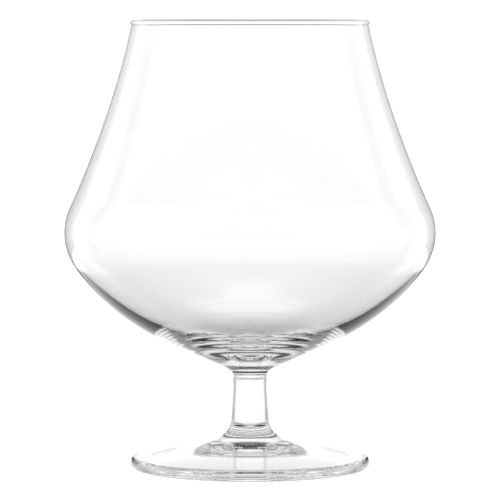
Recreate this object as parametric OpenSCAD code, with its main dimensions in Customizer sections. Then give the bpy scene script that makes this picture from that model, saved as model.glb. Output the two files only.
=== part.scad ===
// Brandy snifter: a blown bowl, a short solid stem and a pressed foot, welded glass to glass.
// The axis is +Z and the table is at Z = 0. Lengths are in millimetres and leans in degrees.

/* [Rim] */
// Outside diameter of the rim
rim_d = 76; // [68:0.5:84]
// Diameter of the round bead along the rim
rim_bead_d = 1.9; // [1.7:0.1:2.6]
// How far the bead stands proud of the wall outside
rim_bead_proud = 0.35; // [0.1:0.05:0.5]
// Lean of the wall below the rim, from upright
rim_lean = 12; // [6:1:18]

/* [Bowl] */
// Height of the bowl, from its weld to the top of the rim
bowl_h = 113.5; // [104:0.5:124]
// Greatest outside diameter of the bowl
belly_d = 118; // [108:0.5:128]
// Height of the greatest diameter above the weld
belly_h = 45.8; // [40:0.1:52]
// Radius of the wall's turn at the belly
belly_round = 19; // [14:0.5:24]
// Lean of the wall where the turn starts, above the belly
shoulder_lean = 24; // [18:1:30]
// Lean of the wall where the turn ends, below the belly
under_lean = 36; // [30:1:42]
// Slope of the bowl's underside at the neck, from level
neck_slope = 28; // [22:1:34]
// Radius of the fillet between the bowl and the stem
neck_round = 2.5; // [1.5:0.1:4]

/* [Bowl wall] */
// Thickness of the wall under the rim
rim_wall = 1; // [0.8:0.05:1.1]
// Thickness of the wall at the belly
belly_wall = 0.9; // [0.7:0.05:1.5]
// Lean of the inner wall where the belly's turn ends
inner_under_lean = 38; // [32:1:44]
// Thickness of the glass between the weld and the middle of the bowl's floor
floor_t = 10; // [9:0.1:14]
// Slope of the inner wall where it meets the floor, from level
floor_slope = 8; // [4:1:12]
// Radius of the floor's dish
floor_round = 120; // [80:5:160]

/* [Stem] */
// Length of the stem between its welds
stem_l = 14.5; // [10:0.5:40]
// Diameter of the stem at the bowl
stem_top_d = 10.7; // [8:0.1:13]
// Diameter of the stem at the foot
stem_bottom_d = 12.3; // [9:0.1:15]

/* [Foot] */
// Diameter of the foot
foot_d = 76.3; // [68:0.1:84]
// Height of the foot's weld above the table
foot_h = 15; // [12:0.1:18]
// Thickness of the foot at its edge
edge_t = 3.9; // [3:0.1:5]
// Height of the edge's widest line above the table
edge_mid_h = 2.2; // [1:0.1:2.6]
// How far the edge rounds in at the top
edge_top_round = 1; // [0.5:0.1:2]
// How far the edge rounds in at the bottom
edge_bottom_round = 2.5; // [1:0.1:4]
// Slope of the foot's top at its edge, from level
foot_slope = 9.6; // [6:0.1:13]
// Reach of that slope towards the middle
foot_slope_reach = 15.2; // [10:0.1:20]
// Height over which the stem flares into the foot
flare_h = 6.7; // [4:0.1:9]
// Width of the flat ring that the foot stands on
rest_ring_w = 1.6; // [0.8:0.1:4]
// Depth of the hollow under the foot, at its middle
hollow_h = 4.8; // [2:0.1:6]

/* [Hidden] */
$fn = 128;
clear_glass = [0.93, 0.96, 0.97, 0.35];

// Straight pieces in each stretch of an outline
run_steps = 24;
turn_steps = 8;
// Share of a run's length over which the wall keeps its lean at each end, above the belly
wall_hold = 1 / 3;
// The same below the belly, at its upper and lower end, outside and inside
outer_holds = [0.46, 0.25];
inner_holds = [0.4, 0.25];
// Share of its sides at which a quarter round is held
quarter_hold = 0.55;

// A direction in the outline's plane
function way(angle) = [cos(angle), sin(angle)];

// A cubic curve from a to d, pulled towards b and c
function curve(a, b, c, d, steps) =
    [for (i = [0 : steps])
        let (t = i / steps, u = 1 - t)
        u * u * u * a + 3 * u * u * t * b + 3 * u * t * t * c + t * t * t * d];

// A smooth run from one point and direction to another
function run(from, from_way, to, to_way, from_hold, to_hold) =
    let (reach = norm(to - from))
    curve(from, from + from_way * from_hold * reach, to - to_way * to_hold * reach, to, run_steps);

// A circular turn between two angles
function turn(centre, radius, from, to) =
    [for (i = [0 : turn_steps]) centre + radius * way(from + (to - from) * i / turn_steps)];

// A quarter round between two sides that meet at a corner
function quarter(from, corner, to) =
    curve(from, from + (corner - from) * quarter_hold, to + (corner - to) * quarter_hold, to, turn_steps);

// Stretches end to end, each shared point taken once
function chain(stretches) =
    [for (stretch = stretches) for (i = [1 : len(stretch) - 1]) stretch[i]];

function last(points) = points[len(points) - 1];
function reversed(points) = [for (i = [1 : len(points)]) points[len(points) - i]];

// Places that two pieces share
stem_top_r = stem_top_d / 2;
stem_bottom_r = stem_bottom_d / 2;
bowl_z = foot_h + stem_l;

// Bowl, in heights above its weld
bead_r = rim_bead_d / 2;
bead_centre = [rim_d / 2 - bead_r, bowl_h - bead_r];
bead_inside = 360 - acos((bead_r - rim_bead_proud - rim_wall) / bead_r);
bead_outside = -acos((bead_r - rim_bead_proud) / bead_r);
rim_bead = [
    turn(bead_centre, bead_r, bead_inside, 90),
    turn(bead_centre, bead_r, 90, 0),
    turn(bead_centre, bead_r, 0, bead_outside),
];
belly_centre = [belly_d / 2 - belly_round, belly_h];
neck_fillet = turn([stem_top_r + neck_round, 0], neck_round, 90 + neck_slope, 180);
floor_dish = turn([0, floor_t + floor_round], floor_round, floor_slope - 90, -90);

// One side of the wall, from the rim over the belly to the last point of its lowest turn
function wall_side(rim, radius, lean, lowest, slope, holds) =
    let (
        above = turn(belly_centre, radius, shoulder_lean, 0),
        below = turn(belly_centre, radius, 0, -lean)
    ) [
        run(rim, way(rim_lean - 90), above[0], way(shoulder_lean - 90), wall_hold, wall_hold),
        above,
        below,
        run(last(below), way(-90 - lean), lowest[0], way(180 + slope), holds[0], holds[1]),
        lowest,
    ];

rim_start = rim_bead[0][0];
rim_end = last(last(rim_bead));
outer_side = wall_side(rim_end, belly_round, under_lean, neck_fillet, neck_slope, outer_holds);
inner_side = wall_side(
    rim_start, belly_round - belly_wall, inner_under_lean, floor_dish, floor_slope, inner_holds);
bowl_outline = concat(
    [rim_start],
    chain(rim_bead),
    chain(outer_side),
    [[0, 0]],
    reversed(chain(inner_side)));

// Foot, in heights above the table
foot_r = foot_d / 2;
rest_r = foot_r - edge_bottom_round;
hollow_r = rest_r - rest_ring_w;
edge_top = [foot_r - edge_top_round, edge_t];
edge_mid = [foot_r, edge_mid_h];
top_corner = [foot_r, edge_t - edge_top_round * tan(foot_slope)];
weld_edge = [stem_bottom_r, foot_h];
foot_top = curve(
    edge_top, edge_top + foot_slope_reach * way(180 - foot_slope), weld_edge - [0, flare_h], weld_edge, run_steps);
hollow = [for (i = [0 : run_steps])
    let (share = i / run_steps)
    [hollow_r * share, hollow_h * (1 - share * share)]];
foot_outline = concat(
    hollow,
    [[rest_r, 0]],
    chain([quarter([rest_r, 0], [foot_r, 0], edge_mid), quarter(edge_mid, top_corner, edge_top), foot_top]),
    [[0, foot_h]]);

// Blown bowl with its rim bead, thin wall and thick floor
module bowl() {
    color(clear_glass)
        translate([0, 0, bowl_z])
            rotate_extrude() polygon(bowl_outline);
}

// Solid stem, tapered, standing on the foot's weld and ending at the bowl's
module stem() {
    color(clear_glass) translate([0, 0, foot_h]) cylinder(stem_l, stem_bottom_r, stem_top_r);
}

// Pressed foot with its flare, rounded edge and hollow underside
module foot() {
    color(clear_glass) rotate_extrude() polygon(foot_outline);
}

bowl();
stem();
foot();
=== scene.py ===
"""Brandy snifter in clear glass: a blown bowl, a short solid stem and a pressed foot, welded together."""
from math import pi, radians

import bpy
import numpy as np
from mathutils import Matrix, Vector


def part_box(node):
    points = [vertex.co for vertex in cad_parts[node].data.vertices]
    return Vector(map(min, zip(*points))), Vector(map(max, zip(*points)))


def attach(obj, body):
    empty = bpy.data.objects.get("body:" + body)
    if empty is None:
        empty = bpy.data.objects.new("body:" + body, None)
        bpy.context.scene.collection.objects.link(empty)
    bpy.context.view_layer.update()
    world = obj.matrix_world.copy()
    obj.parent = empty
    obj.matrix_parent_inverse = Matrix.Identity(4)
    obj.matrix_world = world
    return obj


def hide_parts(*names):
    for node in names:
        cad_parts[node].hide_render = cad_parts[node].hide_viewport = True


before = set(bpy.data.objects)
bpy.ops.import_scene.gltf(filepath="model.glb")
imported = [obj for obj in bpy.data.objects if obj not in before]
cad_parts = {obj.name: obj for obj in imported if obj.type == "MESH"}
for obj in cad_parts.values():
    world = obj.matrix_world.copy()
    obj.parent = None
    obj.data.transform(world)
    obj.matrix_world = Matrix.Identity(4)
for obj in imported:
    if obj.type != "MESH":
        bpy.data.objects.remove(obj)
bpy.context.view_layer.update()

# Sizes in millimetres, angles in degrees; heights of the welds and of the rim come from the frame
MM = 0.001
FOOT_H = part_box("foot")[1].z / MM
BOWL_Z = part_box("bowl")[0].z / MM
RIM_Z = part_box("bowl")[1].z / MM

RIM_D = 76.0
RIM_BEAD_D = 1.9
RIM_BEAD_PROUD = 0.35
RIM_LEAN = 12.0
BELLY_D = 118.0
BELLY_H = 45.8
BELLY_ROUND = 19.0
SHOULDER_LEAN = 24.0
UNDER_LEAN = 36.0
NECK_SLOPE = 28.0
NECK_ROUND = 2.5
RIM_WALL = 1.0
BELLY_WALL = 0.9
INNER_UNDER_LEAN = 38.0
FLOOR_T = 10.0
FLOOR_SLOPE = 8.0
FLOOR_ROUND = 120.0
STEM_TOP_D = 10.7
STEM_BOTTOM_D = 12.3
FOOT_D = 76.3
EDGE_T = 3.9
EDGE_MID_H = 2.2
EDGE_TOP_ROUND = 1.0
EDGE_BOTTOM_ROUND = 2.5
FOOT_SLOPE = 9.6
FOOT_SLOPE_REACH = 15.2
FLARE_H = 6.7
REST_RING_W = 1.6
HOLLOW_H = 4.8
# Fine crease that the hot weld leaves in the stem, just under the bowl
CREASE_W = 0.9
CREASE_DEPTH = 0.22
# How near to a weld's height a face lies when it is part of the weld
WELD_NEAR = 0.001

# Shares of a run's length over which it keeps the direction of its ends, and of a quarter round's sides
WALL_HOLD = 1 / 3
BELLY_HOLD = 0.46
NECK_HOLD = 0.25
INNER_BELLY_HOLD = 0.4
INNER_FLOOR_HOLD = 0.25
QUARTER_HOLD = 0.55

# Fineness of the turned meshes
RUN_STEPS = 80
TURN_STEPS = 20
STEM_STEPS = 24
AROUND = 192
SHARP_CORNER = radians(40)

# Clear glass, with the waves that blowing leaves and the film from handling; the waves' height is in metres
GLASS_TINT = (0.996, 0.998, 0.996, 1)
GLASS_IOR = 1.52
WAVE_HEIGHT = 0.000003
WAVE_SCALE = 90
WAVE_DETAIL = 2
WAVE_FLATTENING = (1, 1, 3)
FILM_ROUGHNESS = 0.003
FILM_SCALE = 60
FILM_DETAIL = 3

# Camera, level with the rim, and the long lens that sees the whole glass
CAMERA_BACK = 1164.0
CAMERA_H = 142.0
CAMERA_TILT = 3.55
SENSOR_W = 36.0
LENS = 263.8

# Studio, in metres: the tent that the glass refracts, the one that it mirrors, and what the camera sees
TENT_R = 4.0
MIRROR_R = 3.9
BACKDROP_R = 3.8
FLOOR_R = 3.0
TENT_SEGMENTS = 64
TENT_RINGS = 32
TENT_GLOW = 1.17
LIT_CLOTH = (1, 1, 1, 1)
SHADED_CLOTH = (1, 0.995, 0.965, 1)
LIGHT_BOUNCES = 24
# Brightness of a tent by height above the horizon in degrees, behind the glass and at the sides
BACKDROP_LEVELS = (
    (-90, 1.0), (-72, 1.0), (-64, 0.25), (-55, 0.2), (-40, 0.2), (-35, 0.33), (-30, 0.45),
    (-25, 0.58), (-20, 0.72), (-17, 0.8), (-13, 0.88), (-8, 0.92), (-5, 0.92), (-2.5, 0.98),
    (-1, 1.0), (14, 1.0), (22, 0.8), (29, 0.5), (34, 0.2), (40, 0.1), (90, 0.04))
SIDE_LEVELS = (
    (-90, 1.0), (-84, 1.0), (-76, 0.3), (-60, 0.03), (-44, 0.05), (-38, 0.3), (10, 0.3), (20, 0.04),
    (34, 0.01), (90, 0))
# Bearings in degrees between which the backdrop passes into the sides, in each tent
SIDE_FADE = (36, 54)
MIRROR_FADE = (60, 90)
# White panel beside the backdrop and white band round the rest: bearings and heights in degrees
PANELS = ((36, 54, -34, -14), (66, 190, -36, 8))
PANEL_SOFT = 5
# Black flags beside the backdrop, which only reflections see and which draw the edges of the glass
FLAG_BACK = 0.3
FLAG_NEAR = 0.08
FLAG_FAR = 0.3
FLAG_LOW = 0.004
FLAG_HIGH = 0.3


def way(angle):
    """A direction in the outline's plane."""
    return np.array((np.cos(radians(angle)), np.sin(radians(angle))))


def curve(a, b, c, d, steps=RUN_STEPS):
    """A cubic curve from a to d, pulled towards b and c."""
    t = np.linspace(0, 1, steps + 1)[:, None]
    u = 1 - t
    return u ** 3 * a + 3 * u ** 2 * t * b + 3 * u * t ** 2 * c + t ** 3 * d


def run(start, start_way, end, end_way, start_hold, end_hold):
    """A smooth run from one point and direction to another."""
    reach = np.linalg.norm(end - start)
    return curve(start, start + start_way * start_hold * reach, end - end_way * end_hold * reach, end)


def turn(centre, radius, start, end):
    """A circular turn between two angles."""
    angles = np.radians(np.linspace(start, end, TURN_STEPS + 1))
    return centre + radius * np.stack((np.cos(angles), np.sin(angles)), 1)


def quarter(start, corner, end):
    """A quarter round between two sides that meet at a corner."""
    after_start = start + (corner - start) * QUARTER_HOLD
    before_end = end + (corner - end) * QUARTER_HOLD
    return curve(start, after_start, before_end, end, TURN_STEPS)


def chain(stretches):
    """Stretches end to end, each shared point taken once."""
    return np.vstack([stretches[0], *(stretch[1:] for stretch in stretches[1:])])


def wall_side(rim, radius, lean, lowest, slope, holds):
    """One side of the bowl's wall, from the rim over the belly to the end of its lowest turn."""
    belly_centre = np.array((BELLY_D / 2 - BELLY_ROUND, BOWL_Z + BELLY_H))
    above = turn(belly_centre, radius, SHOULDER_LEAN, 0)
    below = turn(belly_centre, radius, 0, -lean)
    return chain([
        run(rim, way(RIM_LEAN - 90), above[0], way(SHOULDER_LEAN - 90), WALL_HOLD, WALL_HOLD),
        above,
        below,
        run(below[-1], way(-90 - lean), lowest[0], way(180 + slope), *holds),
        lowest,
    ])


def bowl_outline():
    """From the middle of the floor up the inside, over the bead and down the outside to the weld."""
    bead_r = RIM_BEAD_D / 2
    bead_centre = np.array((RIM_D / 2 - bead_r, RIM_Z - bead_r))
    inside = 360 - np.degrees(np.arccos((bead_r - RIM_BEAD_PROUD - RIM_WALL) / bead_r))
    outside = -np.degrees(np.arccos((bead_r - RIM_BEAD_PROUD) / bead_r))
    bead = chain([turn(bead_centre, bead_r, inside, 90), turn(bead_centre, bead_r, 90, outside)])
    neck = turn(np.array((STEM_TOP_D / 2 + NECK_ROUND, BOWL_Z)), NECK_ROUND, 90 + NECK_SLOPE, 180)
    dish = turn(np.array((0, BOWL_Z + FLOOR_T + FLOOR_ROUND)), FLOOR_ROUND, FLOOR_SLOPE - 90, -90)
    inner_round = BELLY_ROUND - BELLY_WALL
    inner_holds = (INNER_BELLY_HOLD, INNER_FLOOR_HOLD)
    inner = wall_side(bead[0], inner_round, INNER_UNDER_LEAN, dish, FLOOR_SLOPE, inner_holds)
    outer = wall_side(bead[-1], BELLY_ROUND, UNDER_LEAN, neck, NECK_SLOPE, (BELLY_HOLD, NECK_HOLD))
    weld = np.array((outer[-1], (0, BOWL_Z)))
    return chain([inner[::-1], bead, outer, weld])


def stem_outline():
    """From the weld under the bowl down the tapered side to the weld on the foot."""
    top = np.array((STEM_TOP_D / 2, BOWL_Z))
    share = np.linspace(0, 1, TURN_STEPS + 1)
    crease = top - np.stack((CREASE_DEPTH * (1 - np.cos(2 * pi * share)) / 2, CREASE_W * share), 1)
    side = np.linspace(crease[-1], (STEM_BOTTOM_D / 2, FOOT_H), STEM_STEPS + 1)
    return chain([np.array(((0, BOWL_Z), top)), crease, side, np.array((side[-1], (0, FOOT_H)))])


def foot_outline():
    """From the weld down the flare, round the edge to the resting ring and up into the hollow underneath."""
    foot_r = FOOT_D / 2
    rest_r = foot_r - EDGE_BOTTOM_ROUND
    hollow_r = rest_r - REST_RING_W
    weld_edge = np.array((STEM_BOTTOM_D / 2, FOOT_H))
    edge_top = np.array((foot_r - EDGE_TOP_ROUND, EDGE_T))
    edge_mid = np.array((foot_r, EDGE_MID_H))
    top_corner = np.array((foot_r, EDGE_T - EDGE_TOP_ROUND * np.tan(radians(FOOT_SLOPE))))
    rest = np.array((rest_r, 0))
    flare = curve(
        weld_edge, weld_edge - (0, FLARE_H), edge_top + FOOT_SLOPE_REACH * way(180 - FOOT_SLOPE), edge_top)
    share = np.linspace(1, 0, RUN_STEPS + 1)
    hollow = np.stack((hollow_r * share, HOLLOW_H * (1 - share ** 2)), 1)
    return chain([
        np.array(((0, FOOT_H), weld_edge)),
        flare,
        quarter(edge_top, top_corner, edge_mid),
        quarter(edge_mid, np.array((foot_r, 0)), rest),
        np.array((rest, hollow[0])),
        hollow,
    ])


def turned(name, outline):
    """A closed body turned about the axis, from an outline that starts and ends on it."""
    radii, heights = outline[1:-1].T * MM
    angles = 2 * pi * np.arange(AROUND) / AROUND
    x = np.outer(radii, np.cos(angles))
    y = np.outer(radii, np.sin(angles))
    z = np.repeat(heights[:, None], AROUND, 1)
    points = np.stack((x, y, z), 2).reshape(-1, 3)
    first, last = len(points), len(points) + 1
    ring = np.arange(first).reshape(-1, AROUND)
    beside = np.roll(ring, -1, 1)
    bands = np.stack((ring[:-1], ring[1:], beside[1:], beside[:-1]), 2).reshape(-1, 4)
    start_fan = np.stack((np.full(AROUND, first), ring[0], beside[0]), 1)
    end_fan = np.stack((ring[-1], np.full(AROUND, last), beside[-1]), 1)
    poles = [(0, 0, outline[0][1] * MM), (0, 0, outline[-1][1] * MM)]
    mesh = bpy.data.meshes.new(name)
    mesh.from_pydata(points.tolist() + poles, [], bands.tolist() + start_fan.tolist() + end_fan.tolist())
    mesh.shade_smooth()
    mesh.set_sharp_from_angle(angle=SHARP_CORNER)
    piece = bpy.data.objects.new(name, mesh)
    bpy.context.scene.collection.objects.link(piece)
    return piece


class Field:
    """A node's output in one finish. Arithmetic on it adds Math nodes."""

    def __init__(self, finish, socket):
        self.finish = finish
        self.socket = socket

    def maths(self, operation, first, second):
        return self.finish.node("Math", {"operation": operation}, {0: first, 1: second})

    def __add__(self, other):
        return self.maths("ADD", self, other)

    def __radd__(self, other):
        return self.maths("ADD", other, self)

    def __sub__(self, other):
        return self.maths("SUBTRACT", self, other)

    def __rsub__(self, other):
        return self.maths("SUBTRACT", other, self)

    def __mul__(self, other):
        return self.maths("MULTIPLY", self, other)

    def __rmul__(self, other):
        return self.maths("MULTIPLY", other, self)


class Finish:
    """The node tree of one material."""

    def __init__(self, name):
        self.material = bpy.data.materials.new(name)
        self.material.use_nodes = True
        self.tree = self.material.node_tree
        self.tree.nodes.clear()

    def node(self, kind, settings, sockets, output=0):
        """Adds a node, sets it up, feeds its sockets and gives one of its outputs."""
        made = self.tree.nodes.new("ShaderNode" + kind)
        for name, value in settings.items():
            if name == "stops":
                self.set_stops(made.color_ramp, value)
            else:
                setattr(made, name, value)
        for name, value in sockets.items():
            if isinstance(value, Field):
                self.tree.links.new(value.socket, made.inputs[name])
            else:
                made.inputs[name].default_value = value
        return Field(self, made.outputs[output])

    @staticmethod
    def set_stops(ramp, stops):
        """Gives a ramp its stops, each a place and a grey level."""
        while len(ramp.elements) < len(stops):
            ramp.elements.new(1)
        for element, (place, level) in zip(ramp.elements, stops):
            element.position = place
            element.color = (level, level, level, 1)

    def fade(self, angle, start, end):
        """Rises smoothly from 0 to 1 between two angles in degrees."""
        return self.node("MapRange", {"interpolation_type": "SMOOTHSTEP"}, {
            "Value": angle, "From Min": radians(start), "From Max": radians(end)})

    def between(self, angle, start, end):
        """Is 1 between two angles in degrees and falls off softly to 0 on both sides."""
        rise = self.fade(angle, start - PANEL_SOFT, start + PANEL_SOFT)
        return rise * (1 - self.fade(angle, end - PANEL_SOFT, end + PANEL_SOFT))

    def by_height(self, height, levels):
        """Brightness by height above the horizon, from levels at angles in degrees."""
        stops = [(angle / 180 + 0.5, level) for angle, level in levels]
        return self.node("ValToRGB", {"stops": stops}, {0: height * (1 / pi) + 0.5})

    def brighter(self, first, second):
        """The greater of two levels."""
        return self.node("Math", {"operation": "MAXIMUM"}, {0: first, 1: second})

    def show(self, surface):
        """Makes a shader the material's surface."""
        output = self.tree.nodes.new("ShaderNodeOutputMaterial")
        self.tree.links.new(surface.socket, output.inputs["Surface"])
        return self.material


def clear_glass():
    """Clear glass with faint waves in its surface and a thin uneven film."""
    finish = Finish("clear_glass")
    place = finish.node("TexCoord", {}, {}, "Object")
    flattened = finish.node("VectorMath", {"operation": "MULTIPLY"}, {0: place, 1: WAVE_FLATTENING})
    waves = finish.node("TexNoise", {}, {"Vector": flattened, "Scale": WAVE_SCALE, "Detail": WAVE_DETAIL})
    film = finish.node("TexNoise", {}, {"Vector": place, "Scale": FILM_SCALE, "Detail": FILM_DETAIL})
    surface = finish.node("BsdfPrincipled", {}, {
        "Base Color": GLASS_TINT,
        "Roughness": FILM_ROUGHNESS * film,
        "IOR": GLASS_IOR,
        "Transmission Weight": 1,
        "Normal": finish.node("Bump", {}, {"Strength": 1, "Distance": WAVE_HEIGHT, "Height": waves}),
    })
    return finish.show(surface)


def fused_glass():
    """The faces that two pieces share at a weld, where light passes as if nothing were there."""
    finish = Finish("fused_glass")
    return finish.show(finish.node("BsdfPrincipled", {}, {"Base Color": (1, 1, 1, 1), "Alpha": 0}))


def glaze(piece, node):
    """Gives a piece its glass, fused where it is welded, and sets it in place of its node."""
    for material in GLASS:
        piece.data.materials.append(material)
    for face in piece.data.polygons:
        heights = [piece.data.vertices[i].co.z / MM for i in face.vertices]
        at_weld = any(all(abs(h - weld) < WELD_NEAR for h in heights) for weld in (FOOT_H, BOWL_Z))
        face.material_index = int(at_weld)
    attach(piece, "root")
    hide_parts(node)


def tent_cloth(name, side_fade, panels):
    """White cloth lit from behind, with a bright backdrop, darker sides and white panels."""
    finish = Finish(name)
    place = finish.node("TexCoord", {}, {}, "Object")
    outward = finish.node("VectorMath", {"operation": "NORMALIZE"}, {0: place})
    x, y, z = (finish.node("SeparateXYZ", {}, {0: outward}, axis) for axis in "XYZ")
    height = finish.node("Math", {"operation": "ARCSINE"}, {0: z})
    bearing = finish.node("Math", {"operation": "ARCTAN2"}, {0: x, 1: y})
    aside = finish.node("Math", {"operation": "ABSOLUTE"}, {0: bearing})
    behind = finish.by_height(height, BACKDROP_LEVELS)
    sides = finish.by_height(height, SIDE_LEVELS)
    glow = behind + (sides - behind) * finish.fade(aside, *side_fade)
    for near, far, low, high in panels:
        panel = finish.between(aside, near, far) * finish.between(height, low, high)
        glow = finish.brighter(glow, panel)
    colour = finish.node("Mix", {"data_type": "RGBA"}, {0: glow, 6: SHADED_CLOTH, 7: LIT_CLOTH}, 2)
    shining = finish.node("VectorMath", {"operation": "SCALE"}, {0: colour, "Scale": glow})
    return finish.show(finish.node("Emission", {}, {"Color": shining, "Strength": TENT_GLOW}))


def glowing(name, strength):
    """An even glow."""
    finish = Finish(name)
    return finish.show(finish.node("Emission", {}, {"Color": (1, 1, 1, 1), "Strength": strength}))


def stage_piece(name, points, material):
    """A flat part of the studio, which isn't part of the glass."""
    mesh = bpy.data.meshes.new(name)
    mesh.from_pydata(points, [], [range(len(points))])
    mesh.materials.append(material)
    piece = bpy.data.objects.new(name, mesh)
    bpy.context.scene.collection.objects.link(piece)
    return piece


def light_tent(name, radius, cloth):
    """A round tent of lit cloth."""
    bpy.ops.mesh.primitive_uv_sphere_add(segments=TENT_SEGMENTS, ring_count=TENT_RINGS, radius=radius)
    tent = bpy.context.object
    tent.name = name
    tent.data.materials.append(cloth)
    tent.data.shade_smooth()
    return tent


GLASS = (clear_glass(), fused_glass())
glaze(turned("blown_bowl", bowl_outline()), "bowl")
glaze(turned("tapered_stem", stem_outline()), "stem")
glaze(turned("pressed_foot", foot_outline()), "foot")

# Camera
camera_data = bpy.data.cameras.new("camera")
camera_data.sensor_width = SENSOR_W
camera_data.lens = LENS
camera = bpy.data.objects.new("camera", camera_data)
bpy.context.scene.collection.objects.link(camera)
camera.location = (0, -CAMERA_BACK * MM, CAMERA_H * MM)
camera.rotation_euler = (pi / 2 - radians(CAMERA_TILT), 0, 0)
bpy.context.scene.camera = camera

# Tent that is seen through the glass, and the one that its outside mirrors
tent = light_tent("light_tent", TENT_R, tent_cloth("tent_cloth", SIDE_FADE, PANELS))
tent.visible_camera = False
tent.visible_glossy = False
mirrored_tent = light_tent("mirrored_tent", MIRROR_R, tent_cloth("mirrored_cloth", MIRROR_FADE, ()))
mirrored_tent.visible_camera = False
mirrored_tent.visible_transmission = False

# Plain pale surroundings that only the camera sees
pale = glowing("pale", TENT_GLOW)
backdrop = light_tent("backdrop", BACKDROP_R, pale)
floor = stage_piece(
    "floor", [(-FLOOR_R, -FLOOR_R, 0), (FLOOR_R, -FLOOR_R, 0), (FLOOR_R, FLOOR_R, 0), (-FLOOR_R, FLOOR_R, 0)],
    pale)
for piece in (backdrop, floor):
    piece.visible_transmission = False
    piece.visible_glossy = False
    piece.visible_shadow = False

# Flags
black_cloth = glowing("black_cloth", 0)
for side in (-1, 1):
    near, far = side * FLAG_NEAR, side * FLAG_FAR
    flag = stage_piece(
        "flag", [(near, FLAG_BACK, FLAG_LOW), (far, FLAG_BACK, FLAG_LOW), (far, FLAG_BACK, FLAG_HIGH),
                 (near, FLAG_BACK, FLAG_HIGH)], black_cloth)
    flag.visible_camera = False
    flag.visible_transmission = False

scene = bpy.context.scene
scene.view_settings.view_transform = "Standard"
scene.cycles.max_bounces = LIGHT_BOUNCES
scene.cycles.transmission_bounces = LIGHT_BOUNCES
scene.cycles.glossy_bounces = LIGHT_BOUNCES
